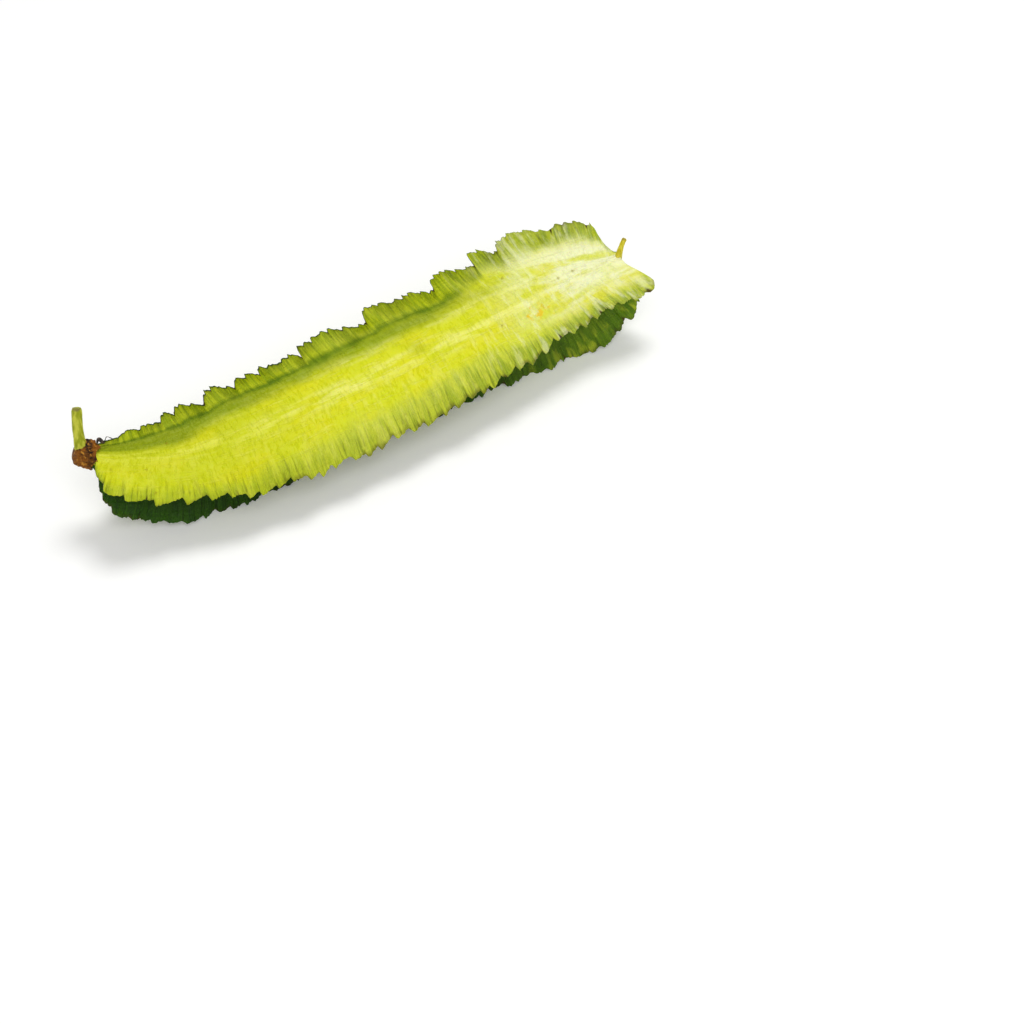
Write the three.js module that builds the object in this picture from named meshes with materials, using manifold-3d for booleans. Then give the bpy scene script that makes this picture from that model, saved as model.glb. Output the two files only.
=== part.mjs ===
// A four-winged bean pod, as picked, lying on a level surface on the margins of its two lower wings.
// Millimetres, +Z up. The pod runs along X, from the stalk at -X to the beak at +X.
// The group's origin is the middle of the pod's footprint, at the height of the surface.

import * as THREE from "three";
import { LoftGeometry } from "three/addons/geometries/LoftGeometry.js";
import { mergeVertices } from "three/addons/utils/BufferGeometryUtils.js";
import Module from "manifold-3d";

// ---- Driving dimensions -------------------------------------------------------------------------

const POD_LENGTH = 160; // calyx seat to beak, along the pod
const BODY_HALF_WIDTH = 6.3; // where the wings leave the body, at its fullest
const BODY_HALF_HEIGHT = 4.6;
const FACE_BULGE = 0.5; // how far the seeds swell each face between the wings
const ROLL = THREE.MathUtils.degToRad(15); // the broad face leans towards -Y
const WING_ROOT_THICKNESS = 3.2;
const WING_EDGE_THICKNESS = 1.0;
const FILLET_REACH = 2.4; // a wing thins to its edge thickness over about this distance
const SCALLOP_DEPTH = 0.7; // how far the margins wave in and out
const SCALLOP_PITCH = 12.5;
const RUFFLE_DEPTH = 0.8; // how far the margins wave from side to side
const GAP = 0.3; // between pieces that touch

const SECTIONS = 84; // along the pod
const BLADE_STEPS = 3; // from a wing's root to its margin
const FACE_STEPS = 3; // across a face of the body

const CALYX_RADIUS = 3.7;
const CALYX_LENGTH = 4.2; // behind the pod's seat
const CALYX_RIM = 0.5; // how far the cup reaches over the pod's neck
const CALYX_MOUTH_RADIUS = 3.1;
const STALK_RADIUS = 1.45;
const STALK_SEAT = 1.3; // how deep the stalk stands in the calyx
const STALK_RISE = new THREE.Vector3(1.7, 2.9, 9.8); // from the calyx to the cut end
const STYLE_RADIUS = 0.8;
const STYLE_RISE = new THREE.Vector3(2.5, 0.7, 5.6); // from the beak to the withered tip
const SHRED_RADIUS = 0.45;

// ---- The pod's form, as stations along it --------------------------------------------------------
// Between stations each value follows a smooth curve.

// Centre line: along, sideways, height above the surface.
const CENTRE_LINE = [
  [-6, 8.4, 24.2],
  [3, 5.6, 20.3],
  [12, 3.0, 17.6],
  [24, 0.6, 15.2],
  [45, 0.0, 14.2],
  [85, 0.6, 14.1],
  [125, 0.4, 15.2],
  [146, -0.6, 17.3],
  [166, -3.0, 20.0],
];

// Body: along, size as a share of its fullest.
const BODY = [
  [0, 0.3],
  [2, 0.32],
  [9, 0.44],
  [22, 0.74],
  [40, 0.96],
  [58, 1.0],
  [112, 1.0],
  [135, 0.78],
  [150, 0.46],
  [160, 0.22],
];

// Wings, anticlockwise as seen from the beak. Angles turn anticlockwise from +Y, before the roll.
// Stations: along, height, root angle, margin angle, sweep of the veins towards the stalk.
const WINGS = [
  {
    corner: [1, 1],
    phase: 0.1,
    stations: [
      [0, 0.5, 40, 60, 0.0],
      [4, 1.2, 40, 62, 0.0],
      [12, 3.2, 36, 62, 0.3],
      [22, 4.2, 34, 66, 0.4],
      [34, 5.0, 34, 70, 0.4],
      [58, 5.4, 34, 72, 0.4],
      [80, 6.8, 34, 70, 0.4],
      [105, 7.5, 30, 60, 0.4],
      [118, 8.8, 26, 54, 0.35],
      [130, 11.2, 20, 50, 0.3],
      [141, 12.6, 14, 48, 0.22],
      [149, 12.0, 14, 46, 0.0],
      [153, 10.8, 14, 44, -0.1],
      [156, 8.2, 14, 40, -0.15],
      [157.8, 3.2, 14, 36, -0.1],
      [160, 0.4, 14, 30, 0.0],
    ],
  },
  {
    corner: [-1, 1],
    phase: 0.55,
    stations: [
      [0, 0.5, 178, 186, 0.0],
      [1.2, 0.8, 178, 188, 0.2],
      [3.2, 7.6, 178, 188, 0.5],
      [7.5, 11.2, 178, 190, 0.35],
      [20, 11.8, 178, 192, 0.1],
      [38, 14.6, 176, 194, 0.15],
      [65, 16.4, 174, 196, 0.15],
      [95, 15.5, 172, 194, 0.1],
      [125, 12.4, 170, 188, 0.0],
      [145, 11.0, 168, 184, -0.25],
      [154, 13.2, 168, 182, -0.3],
      [157.6, 12.8, 168, 182, -0.32],
      [159.0, 8.4, 168, 181, -0.6],
      [160, 0.6, 168, 180, -0.4],
    ],
  },
  {
    corner: [-0.9, -1],
    phase: 0.3,
    stations: [
      [0, 0.5, 215, 225, 0.0],
      [1.6, 0.8, 215, 226, 0.1],
      [5.0, 6.5, 215, 227, 0.35],
      [10, 11.4, 215, 228, 0.3],
      [25, 11.8, 214, 226, 0.15],
      [50, 10.2, 213, 223, 0.15],
      [90, 10.0, 213, 222, 0.15],
      [120, 11.2, 213, 222, 0.05],
      [140, 14.8, 212, 224, -0.15],
      [150, 14.4, 210, 224, -0.4],
      [157, 7.5, 210, 224, -0.45],
      [160, 0.5, 210, 224, 0.0],
    ],
  },
  {
    corner: [0.9, -1],
    phase: 0.8,
    stations: [
      [0, 0.5, 292, 284, 0.0],
      [8, 3.0, 292, 284, 0.1],
      [22, 10.2, 290, 282, 0.2],
      [45, 12.2, 288, 280, 0.25],
      [90, 12.1, 286, 280, 0.25],
      [120, 12.9, 286, 280, 0.2],
      [140, 11.0, 286, 280, 0.1],
      [152, 5.0, 286, 280, 0.05],
      [160, 0.5, 286, 280, 0.0],
    ],
  },
];

// ---- Helpers ---------------------------------------------------------------------------------------

// A function that gives the row of values at a place along the pod.
function track(stations) {
  const places = stations.map((row) => row[0]);
  const values = stations.flatMap((row) => row.slice(1));
  const curve = new THREE.CubicInterpolant(places, values, stations[0].length - 1);
  return (along) => Array.from(curve.evaluate(along));
}

const centreLine = track(CENTRE_LINE);
const bodyShare = track(BODY);
for (const wing of WINGS) wing.at = track(wing.stations);

// The centre line's place at a station, with the directions along, sideways and up from it.
function frameAt(along) {
  const place = (x) => new THREE.Vector3(x, ...centreLine(x));
  const forward = place(along + 0.5).sub(place(along - 0.5)).normalize();
  const sideways = new THREE.Vector3(0, 1, 0).addScaledVector(forward, -forward.y).normalize();
  const upward = new THREE.Vector3().crossVectors(forward, sideways);
  return { origin: place(along), forward, sideways, upward };
}

// Distances across (p) and through (q) the body, turned by the roll and carried to the centre line.
function carry(frame, p, q, shift) {
  const y = p * Math.cos(ROLL) - q * Math.sin(ROLL);
  const z = p * Math.sin(ROLL) + q * Math.cos(ROLL);
  return frame.origin
    .clone()
    .addScaledVector(frame.forward, shift)
    .addScaledVector(frame.sideways, y)
    .addScaledVector(frame.upward, z);
}

// Both sides of one wing at one station: out along its clockwise side and back along the other.
function bladeOutline(wing, along, frame) {
  const share = bodyShare(along)[0];
  const [height, rootAngle, edgeAngle, sweep] = wing.at(along);
  const turn = 2 * Math.PI * (along / SCALLOP_PITCH + wing.phase);
  const grown = THREE.MathUtils.smoothstep(height, 2, 9);
  const reach = height + SCALLOP_DEPTH * grown * Math.sin(turn);
  const step = reach / BLADE_STEPS;
  let p = wing.corner[0] * BODY_HALF_WIDTH * share;
  let q = wing.corner[1] * BODY_HALF_HEIGHT * share;
  const outward = [];
  const back = [];
  for (let i = 0; i <= BLADE_STEPS; i++) {
    const v = i / BLADE_STEPS;
    const angleAt = (x) =>
      THREE.MathUtils.degToRad(
        THREE.MathUtils.lerp(rootAngle, edgeAngle, THREE.MathUtils.smoothstep(x, 0.1, 0.9)),
      );
    if (i > 0) {
      const between = angleAt(v - 0.5 / BLADE_STEPS);
      p += step * Math.cos(between);
      q += step * Math.sin(between);
    }
    const angle = angleAt(v);
    const flare = (WING_ROOT_THICKNESS - WING_EDGE_THICKNESS) * Math.exp((-reach * v) / FILLET_REACH);
    const half = ((WING_EDGE_THICKNESS + flare) / 2) * Math.min(1, 0.1 + share);
    const ruffle = RUFFLE_DEPTH * grown * v * v * Math.cos(turn);
    const shift = -sweep * reach * v;
    const across = (offset) =>
      carry(frame, p + offset * Math.sin(angle), q - offset * Math.cos(angle), shift);
    outward.push(across(half + ruffle));
    back.unshift(across(-half + ruffle));
  }
  return [...outward, ...back];
}

// One closed outline of the pod: four wings with a gently swollen face between each two.
function podSection(along) {
  const frame = frameAt(along);
  const share = bodyShare(along)[0];
  const blades = WINGS.map((wing) => bladeOutline(wing, along, frame));
  return blades.flatMap((blade, k) => {
    const from = blade.at(-1);
    const to = blades[(k + 1) % blades.length][0];
    const faceAngle = ((k + 1) * Math.PI) / 2 + ROLL;
    const face = [];
    for (let i = 1; i < FACE_STEPS; i++) {
      const t = i / FACE_STEPS;
      const swell = FACE_BULGE * share * 4 * t * (1 - t);
      face.push(
        from
          .clone()
          .lerp(to, t)
          .addScaledVector(frame.sideways, swell * Math.cos(faceAngle))
          .addScaledVector(frame.upward, swell * Math.sin(faceAngle)),
      );
    }
    return [...blade, ...face];
  });
}

// A round tube that follows a curve, with a radius for each place on it.
function taperedTube(curve, radiusAt, steps, sides) {
  const frames = curve.computeFrenetFrames(steps);
  const rings = [];
  for (let i = 0; i <= steps; i++) {
    const centre = curve.getPointAt(i / steps);
    const radius = radiusAt(i / steps);
    const ring = [];
    for (let j = 0; j < sides; j++) {
      const angle = (2 * Math.PI * j) / sides;
      ring.push(
        centre
          .clone()
          .addScaledVector(frames.normals[i], radius * Math.cos(angle))
          .addScaledVector(frames.binormals[i], radius * Math.sin(angle)),
      );
    }
    rings.push(ring);
  }
  return new LoftGeometry(rings, { capStart: true, capEnd: true });
}

// ---- Joining and cutting ----------------------------------------------------------------------------

const wasm = await Module();
wasm.setup();

function toSolid(geometry) {
  geometry.deleteAttribute("normal");
  geometry.deleteAttribute("uv");
  const merged = mergeVertices(geometry, 1e-4);
  const vertProperties = merged.attributes.position.array;
  const triVerts = new Uint32Array(merged.index.array);
  return new wasm.Manifold(new wasm.Mesh({ numProp: 3, vertProperties, triVerts }));
}

function toGeometry(solid) {
  const { vertProperties, triVerts } = solid.getMesh();
  const geometry = new THREE.BufferGeometry();
  geometry.setAttribute("position", new THREE.BufferAttribute(new Float32Array(vertProperties), 3));
  geometry.setIndex(new THREE.BufferAttribute(new Uint32Array(triVerts), 1));
  geometry.computeVertexNormals();
  return geometry;
}

// ---- The pieces ----------------------------------------------------------------------------------------

// The pod: body and four wings in one, with the margins that it lies on pressed flat.
function podGeometry() {
  const sections = [];
  for (let i = 0; i <= SECTIONS; i++) {
    const u = i / SECTIONS;
    const along = POD_LENGTH * (u - Math.sin(2 * Math.PI * u) / (4 * Math.PI)); // closer at the ends
    sections.push(podSection(along));
  }
  const grown = toSolid(new LoftGeometry(sections, { capStart: true, capEnd: true }));
  const surface = new THREE.BoxGeometry(2 * POD_LENGTH, POD_LENGTH, 20);
  surface.translate(POD_LENGTH / 2, 0, -10);
  return toGeometry(grown.subtract(toSolid(surface)));
}

const seat = frameAt(0);
const calyxMiddle = seat.origin.clone().addScaledVector(seat.forward, -CALYX_LENGTH / 2);
const stalkDirection = STALK_RISE.clone().normalize();

function stalkCurve() {
  const foot = calyxMiddle.clone().addScaledVector(stalkDirection, CALYX_RADIUS - STALK_SEAT);
  const top = foot.clone().add(STALK_RISE);
  const bow = foot.clone().lerp(top, 0.5).add(new THREE.Vector3(-0.5, 0, 0));
  return new THREE.CatmullRomCurve3([foot, bow, top]);
}

function stalkGeometry() {
  const flare = (t) => STALK_RADIUS * (1 + 0.1 * Math.cos(2 * Math.PI * t) - 0.06 * t);
  return taperedTube(stalkCurve(), flare, 10, 14);
}

// The calyx: a withered cup round the pod's neck, with a seat for the stalk in its upper side.
function calyxGeometry() {
  const profile = [
    [0, -CALYX_LENGTH],
    [1.9, -CALYX_LENGTH + 0.1],
    [3.2, -CALYX_LENGTH + 1.2],
    [CALYX_RADIUS, -CALYX_LENGTH / 2],
    [CALYX_RADIUS - 0.1, 0],
    [CALYX_MOUTH_RADIUS + 0.4, CALYX_RIM],
    [CALYX_MOUTH_RADIUS, CALYX_RIM],
    [CALYX_MOUTH_RADIUS, -GAP],
    [0, -GAP],
  ].map(([radius, height]) => new THREE.Vector2(radius, height));
  const cup = new THREE.LatheGeometry(profile, 22);
  const turn = new THREE.Quaternion().setFromUnitVectors(new THREE.Vector3(0, 1, 0), seat.forward);
  cup.applyQuaternion(turn).translate(seat.origin.x, seat.origin.y, seat.origin.z);
  const clearance = STALK_RADIUS * 1.1 + GAP;
  const socket = new THREE.CylinderGeometry(clearance, clearance, CALYX_RADIUS, 20);
  socket.applyQuaternion(
    new THREE.Quaternion().setFromUnitVectors(new THREE.Vector3(0, 1, 0), stalkDirection),
  );
  const depth = calyxMiddle
    .clone()
    .addScaledVector(stalkDirection, CALYX_RADIUS * 1.5 - STALK_SEAT - GAP);
  socket.translate(depth.x, depth.y, depth.z);
  return toGeometry(toSolid(cup).subtract(toSolid(socket)));
}

// The withered style, a thread left on the beak.
function styleGeometry() {
  const beak = frameAt(POD_LENGTH);
  const foot = beak.origin
    .clone()
    .addScaledVector(beak.forward, GAP + STYLE_RADIUS)
    .addScaledVector(beak.upward, -0.4);
  const middle = foot.clone().addScaledVector(STYLE_RISE, 0.45).add(new THREE.Vector3(-0.4, 0, 0.2));
  const tip = foot.clone().add(STYLE_RISE);
  const curve = new THREE.CatmullRomCurve3([foot, middle, tip]);
  return taperedTube(curve, (t) => STYLE_RADIUS * (1.15 - 0.5 * t + 0.3 * t * t), 9, 10);
}

// A dry shred of the flower, caught between the calyx and the upper wing.
function shredGeometry() {
  const foot = seat.origin
    .clone()
    .addScaledVector(seat.forward, CALYX_RIM - 0.2)
    .addScaledVector(seat.upward, CALYX_RADIUS + GAP + SHRED_RADIUS);
  const bends = [
    [0, 0, 0],
    [1.3, 0.2, 0.9],
    [2.8, -0.2, 0.4],
    [4.2, 0.3, 1.1],
  ];
  const points = bends.map(([x, y, z]) => foot.clone().add(new THREE.Vector3(x, y, z)));
  return taperedTube(new THREE.CatmullRomCurve3(points), (t) => SHRED_RADIUS * (1.1 - 0.6 * t), 9, 8);
}

function piece(name, geometry, color, roughness) {
  const mesh = new THREE.Mesh(
    geometry,
    new THREE.MeshStandardMaterial({ color, roughness, metalness: 0 }),
  );
  mesh.name = name;
  return mesh;
}

const bean = new THREE.Group();
bean.add(
  piece("pod", podGeometry(), 0xc3d01c, 0.45),
  piece("calyx", calyxGeometry(), 0x6e4a24, 0.85),
  piece("stalk", stalkGeometry(), 0xa1a43a, 0.6),
  piece("style", styleGeometry(), 0xcfc46a, 0.65),
  piece("flower_shred", shredGeometry(), 0x2c2118, 0.9),
);

// The footprint's middle becomes the origin.
const box = new THREE.Box3().setFromObject(bean);
const middle = box.getCenter(new THREE.Vector3());
bean.position.set(-middle.x, -middle.y, -box.min.z);

export default bean;
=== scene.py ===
# %% [markdown]
# # A winged bean pod, finished in Blender
# This pod is a long, square bean with a frilled wing along each of its four corners. It lies as it was
# picked, on the margins of its two lower wings, with its stalk, the dry calyx and a bit of withered flower
# still on it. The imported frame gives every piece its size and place. These cells grow a finer skin over
# the frame, and lengths are in millimetres until a mesh is handed to Blender, which works in metres.

import math

import bpy
import numpy as np
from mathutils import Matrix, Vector, noise


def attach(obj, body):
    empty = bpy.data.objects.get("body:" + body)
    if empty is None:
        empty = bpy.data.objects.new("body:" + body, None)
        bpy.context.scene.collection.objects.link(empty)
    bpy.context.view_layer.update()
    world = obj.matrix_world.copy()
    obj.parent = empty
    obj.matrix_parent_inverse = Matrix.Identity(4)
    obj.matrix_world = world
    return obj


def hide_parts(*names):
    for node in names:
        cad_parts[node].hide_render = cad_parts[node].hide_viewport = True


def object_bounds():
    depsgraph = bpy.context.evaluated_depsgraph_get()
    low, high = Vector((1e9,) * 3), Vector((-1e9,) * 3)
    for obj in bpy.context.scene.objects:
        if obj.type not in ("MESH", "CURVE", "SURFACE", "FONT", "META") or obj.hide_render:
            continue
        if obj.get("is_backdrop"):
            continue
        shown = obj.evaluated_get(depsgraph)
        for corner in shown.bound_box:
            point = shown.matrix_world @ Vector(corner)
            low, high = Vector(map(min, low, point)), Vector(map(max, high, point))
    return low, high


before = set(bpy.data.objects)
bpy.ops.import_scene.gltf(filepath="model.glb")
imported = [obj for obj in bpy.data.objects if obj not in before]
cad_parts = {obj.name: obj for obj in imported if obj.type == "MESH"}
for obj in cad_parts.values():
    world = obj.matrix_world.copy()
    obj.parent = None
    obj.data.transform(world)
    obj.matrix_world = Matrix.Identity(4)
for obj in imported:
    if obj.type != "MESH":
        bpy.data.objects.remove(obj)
frame_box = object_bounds()
MM = 0.001
print("frame, mm:", [[round(value / MM, 1) for value in corner] for corner in frame_box])

# %% [markdown]
# ## The pod's form, as stations
# A pod grows along one line, and everything about it changes slowly along that line: how thick the body
# is, how high each wing stands and which way it leans. A list of stations with a smooth curve through them
# says this in a few rows, and it is easier to adjust than a sculpted mesh. The rows repeat the frame's
# own, so the skin and the frame agree.

# %% Stations along the pod
POD_LENGTH = 160.0
SEAT_X, SEAT_Y = -79.88, 4.29  # where the pod's own zero lies in the frame
ROLL = math.radians(15)
BODY_HALF_WIDTH, BODY_HALF_HEIGHT = 6.3, 4.6

CENTRE_LINE = [  # along, sideways, height
    (-6, 8.4, 24.2), (3, 5.6, 20.3), (12, 3.0, 17.6), (24, 0.6, 15.2), (45, 0.0, 14.2),
    (85, 0.6, 14.1), (125, 0.4, 15.2), (146, -0.6, 17.3), (166, -3.0, 20.0),
]
BODY = [  # along, size as a share of its fullest
    (0, 0.3), (2, 0.32), (9, 0.44), (22, 0.74), (40, 0.96), (58, 1.0),
    (112, 1.0), (135, 0.78), (150, 0.46), (160, 0.22),
]


def track(stations):
    """A function that gives the smooth row of values at each place along the pod."""
    table = np.array(stations, float)
    places, values = table[:, 0], table[:, 1:]
    slopes = np.zeros_like(values)
    slopes[1:-1] = (values[2:] - values[:-2]) / (places[2:] - places[:-2])[:, None]

    def at(along):
        along = np.clip(along, places[0], places[-1])
        left = np.clip(np.searchsorted(places, along, side="right") - 1, 0, len(places) - 2)
        span = (places[left + 1] - places[left])[:, None]
        t = (along - places[left])[:, None] / span
        rest = (2 * t**3 - 3 * t**2 + 1) * values[left] + (3 * t**2 - 2 * t**3) * values[left + 1]
        lean = (t**3 - 2 * t**2 + t) * slopes[left] + (t**3 - t**2) * slopes[left + 1]
        return rest + span * lean

    return at


centre_line = track(CENTRE_LINE)
body_share = track(BODY)
print("body share at mid-pod:", body_share(np.array([80.0]))[0])

# %% Stations of the four wings
# Anticlockwise as seen from the beak. Angles turn from +Y, before the roll.
# Rows: along, height, angle at the root, angle at the margin, sweep of the veins towards the stalk.
WINGS = {
    "far_upper": [
        (0, 0.5, 40, 60, 0.0), (4, 1.6, 40, 62, 0.2), (12, 3.2, 36, 62, 0.3), (22, 4.2, 34, 66, 0.4),
        (34, 5.0, 34, 70, 0.4), (58, 5.4, 34, 72, 0.4), (80, 6.8, 34, 70, 0.4), (105, 7.5, 30, 60, 0.4),
        (118, 8.8, 26, 54, 0.35), (130, 11.2, 20, 50, 0.3),
        (141, 12.6, 14, 48, 0.22), (149, 12.0, 14, 46, 0.0),
        (153, 10.8, 14, 44, -0.1), (156, 8.2, 14, 40, -0.15),
        (157.8, 3.2, 14, 36, -0.1), (160, 0.4, 14, 30, 0.0),
    ],
    "near_upper": [
        (0, 0.5, 178, 186, 0.0), (1.2, 1.2, 178, 188, 0.5), (3.2, 5.6, 178, 188, 0.5),
        (7.5, 11.0, 178, 190, 0.38), (20, 11.8, 178, 192, 0.1), (38, 14.6, 176, 194, 0.15),
        (65, 16.4, 174, 196, 0.15), (95, 15.5, 172, 194, 0.1), (125, 12.4, 170, 188, 0.0),
        (145, 11.0, 168, 184, -0.25), (154, 13.2, 168, 182, -0.3), (157.6, 12.8, 168, 182, -0.32),
        (159.0, 8.4, 168, 181, -0.6), (160, 0.6, 168, 180, -0.4),
    ],
    "near_lower": [
        (0, 0.5, 215, 225, 0.0), (1.6, 0.8, 215, 226, 0.1), (5.0, 6.5, 215, 227, 0.35),
        (10, 11.4, 215, 228, 0.3), (25, 11.8, 214, 226, 0.15), (50, 10.2, 213, 223, 0.15),
        (90, 10.0, 213, 222, 0.15), (120, 11.2, 213, 222, 0.05), (140, 14.8, 212, 224, -0.15),
        (150, 14.4, 210, 224, -0.4), (157, 7.5, 210, 224, -0.45), (160, 0.5, 210, 224, 0.0),
    ],
    "far_lower": [
        (0, 0.5, 292, 284, 0.0), (8, 3.0, 292, 284, 0.1),
        (22, 10.2, 290, 282, 0.2), (45, 12.2, 288, 280, 0.25),
        (90, 12.1, 286, 280, 0.25), (120, 12.9, 286, 280, 0.2), (140, 11.0, 286, 280, 0.1),
        (152, 5.0, 286, 280, 0.05), (160, 0.5, 286, 280, 0.0),
    ],
}
CORNERS = {"far_upper": (1, 1), "near_upper": (-1, 1), "near_lower": (-0.9, -1), "far_lower": (0.9, -1)}
print("wings:", ", ".join(WINGS))

# %% [markdown]
# ## Frilled margins
# A wing's margin isn't a smooth line. It grows in lobes a centimetre or two long, and each lobe's rim is
# cut into small teeth that all lean towards the beak. The lobes are cupped, so the stalk end of each
# stands proud of its neighbour over a deep notch. A noise texture would give rounded wobbles instead, so
# lobes and teeth are laid out one after another, with seeded lengths and depths.

# %% Lobes and teeth of a margin
TEETH = {  # seed, shortest, longest, shallowest, deepest
    "far_upper": (11, 1.8, 4.4, 0.5, 1.3),
    "near_upper": (8, 3.6, 5.8, 1.6, 2.9),
    "near_lower": (23, 2.4, 4.8, 0.8, 1.7),
    "far_lower": (31, 2.8, 6.0, 0.9, 1.9),
}
LOBES = {
    "near_upper": (17, 13.0, 22.0, 0.4, 1.0),
    "near_lower": (29, 11.0, 20.0, 0.6, 1.3),
    "far_lower": (37, 11.0, 20.0, 0.7, 1.6),
}
FAR_LOBES = [  # where each lobe of the far upper wing starts, and the depth of the notch there
    (-1, 0.5), (7, 0.9), (13, 1.3), (19, 1.5), (25, 1.9), (34, 1.5), (43.5, 1.2), (52, 0.6), (64.5, 2.5),
    (86, 2.9), (108, 2.1), (122.5, 2.3), (131, 2.2), (146, 0.8), (154, 0.8), (160, 0.5),
]


def smooth(low, high, x):
    t = np.clip((x - low) / (high - low), 0, 1)
    return t * t * (3 - 2 * t)


def seeded_saw(seed, shortest, longest, shallow, deep):
    """Starts and depths of saw teeth of uneven length along a whole margin."""
    chance = np.random.default_rng(seed)
    lengths = shortest + (longest - shortest) * chance.random(90) ** 1.2
    depths = (shallow + (deep - shallow) * chance.random(90)) * (0.5 + 0.5 * lengths / longest)
    return np.column_stack([-1.0 + np.cumsum(lengths) - lengths[0], depths])


def saw(rows, along, rise, roundness, seed):
    """At each place: offset in mm, cupping, a tone for each tooth and closeness to a notch."""
    starts, depths = np.array(rows, float).T
    ends = np.append(starts[1:], starts[-1] + 8)
    chance = np.random.default_rng(seed)
    lean, tones = 0.5 + chance.random(len(starts)), chance.random(len(starts))
    which = np.clip(np.searchsorted(starts, along, side="right") - 1, 0, len(starts) - 1)
    gap, length = along - starts[which], (ends - starts)[which]
    climb, t = smooth(0, rise, gap), gap / length
    outline = climb * (1 - t**roundness)
    offset = depths[which] * (outline - 0.45)
    cupping = (outline - 0.35) * lean[which]
    return offset, cupping, tones[which], np.exp(-np.minimum(gap, length - gap) / 0.4)


def frilled_margin(name, along):
    """Lobes and their teeth together: offset in mm, cupping (-1 to 1), tone and closeness to a notch."""
    lobe_rows = FAR_LOBES if name == "far_upper" else seeded_saw(*LOBES[name])
    lobes = saw(lobe_rows, along, 1.6, 2.2, 1)
    teeth = saw(seeded_saw(*TEETH[name]), along, 0.5, 1.0, 2)
    nicks = 0.12 * np.sin(along * 5.3 + 2 * np.sin(along * 1.7)) + 0.08 * np.sin(along * 8.9 + TEETH[name][0])
    cupping = 0.65 * lobes[1] + 0.4 * teeth[1]
    tone = 0.55 * lobes[2] + 0.45 * teeth[2]
    return lobes[0] + teeth[0] + nicks, cupping, tone, np.maximum(lobes[3], 0.62 * teeth[3])


sample = frilled_margin("near_upper", np.linspace(0, POD_LENGTH, 500))[0]
lowest, highest = float(sample.min()), float(sample.max())
print("near upper margin, mm from its middle:", round(lowest, 2), "to", round(highest, 2))

# %% [markdown]
# ## The centre line's own directions
# Each ring of the pod is drawn flat, then carried to its place on the centre line. For that the line
# needs three directions at every place: forward, sideways and up.

# %% Directions along the centre line
def line_frame(along):
    along = np.atleast_1d(np.asarray(along, float))

    def place(x):
        return np.column_stack([x, centre_line(x)])

    forward = place(along + 0.5) - place(along - 0.5)
    forward /= np.linalg.norm(forward, axis=1, keepdims=True)
    sideways = np.array([0.0, 1.0, 0.0]) - forward[:, 1:2] * forward
    sideways /= np.linalg.norm(sideways, axis=1, keepdims=True)
    upward = np.cross(forward, sideways)
    return place(along) + np.array([SEAT_X, SEAT_Y, 0.0]), forward, sideways, upward


seat, seat_forward, seat_sideways, seat_upward = (part[0] for part in line_frame(0))
print("calyx seat, mm:", seat.round(2))

# %% [markdown]
# ## One wing
# A wing starts as thick as the flesh of the body and thins within a few millimetres to a blade less than
# a millimetre thick. It bends over on the way, waves from side to side near its margin, and its veins
# lean towards the stalk. Both faces of the blade are worked out together from its middle line, with a
# thickness to either side, so the two sides always fit.

# %% Wing blades
BLADE_STEPS = 17
WING_ROOT_THICKNESS, WING_THICKNESS, MARGIN_THICKNESS = 3.2, 0.95, 0.34
FILLET_REACH = 2.4
RUFFLES = {  # wave length, height and phase of the margin's slow waves, then how strongly each lobe is cupped
    "far_upper": (13.0, 1.2, 0.9, 2.6),
    "near_upper": (17.0, 0.9, 2.1, 0.35),
    "near_lower": (12.0, 1.0, 0.4, 0.8),
    "far_lower": (14.0, 0.9, 3.0, 0.8),
}
outward_share = 1 - (1 - np.linspace(0, 1, BLADE_STEPS)) ** 1.25


def blade(name, along):
    """Middle line, normal, thickness and shift of one wing, each as rings by steps, with its paint data."""
    height, root, edge, sweep = track(WINGS[name])(along).T
    share = body_share(along)[:, 0]
    offset, cupping, tone, notch = frilled_margin(name, along)
    grown = smooth(0.8, 6, height)
    wave_length, wave_height, phase, cup = RUFFLES[name]
    turn = 2 * np.pi * along / wave_length + phase + 0.8 * np.sin(along / 9.0)
    reach = height + grown * (offset + 0.3 * np.sin(turn * 0.93 + 1.0))
    v = outward_share[None, :]
    between = np.concatenate([v[:, :1], (v[:, 1:] + v[:, :-1]) / 2], axis=1)
    root, edge = np.radians(root)[:, None], np.radians(edge)[:, None]
    angle = root + (edge - root) * smooth(0.1, 0.9, v)
    angle_between = root + (edge - root) * smooth(0.1, 0.9, between)
    step = reach[:, None] * np.diff(v, axis=1, prepend=0)
    corner = CORNERS[name]
    p = corner[0] * BODY_HALF_WIDTH * share[:, None] + np.cumsum(step * np.cos(angle_between), axis=1)
    q = corner[1] * BODY_HALF_HEIGHT * share[:, None] + np.cumsum(step * np.sin(angle_between), axis=1)
    flare = (WING_ROOT_THICKNESS - WING_THICKNESS) * np.exp(-reach[:, None] * v / FILLET_REACH)
    thin = WING_THICKNESS + (MARGIN_THICKNESS - WING_THICKNESS) * smooth(0.45, 1.0, v)
    half = (thin + flare) / 2 * np.minimum(1, 0.1 + share)[:, None]
    ruffle = grown[:, None] * (
        wave_height * v**2 * np.cos(turn)[:, None]
        + cup * smooth(0.35, 1.0, v) * cupping[:, None]
        + 0.13 * smooth(0.2, 0.9, v) * np.sin(along * 4.3 + 2.4 * np.sin(along * 0.8))[:, None]
    )
    bow = 0.6 + 0.4 * smooth(3, 14, along)[:, None]  # the first veins turn back round the calyx
    shift = -sweep[:, None] * reach[:, None] * v**bow
    paint = {"tone": tone, "notch": notch * grown, "reach": reach}
    return p, q, angle, half, ruffle, shift, paint


widest = blade("near_upper", np.linspace(0, POD_LENGTH, 50))[-1]["reach"].max()
print("widest near upper wing, mm:", round(float(widest), 1))

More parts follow.
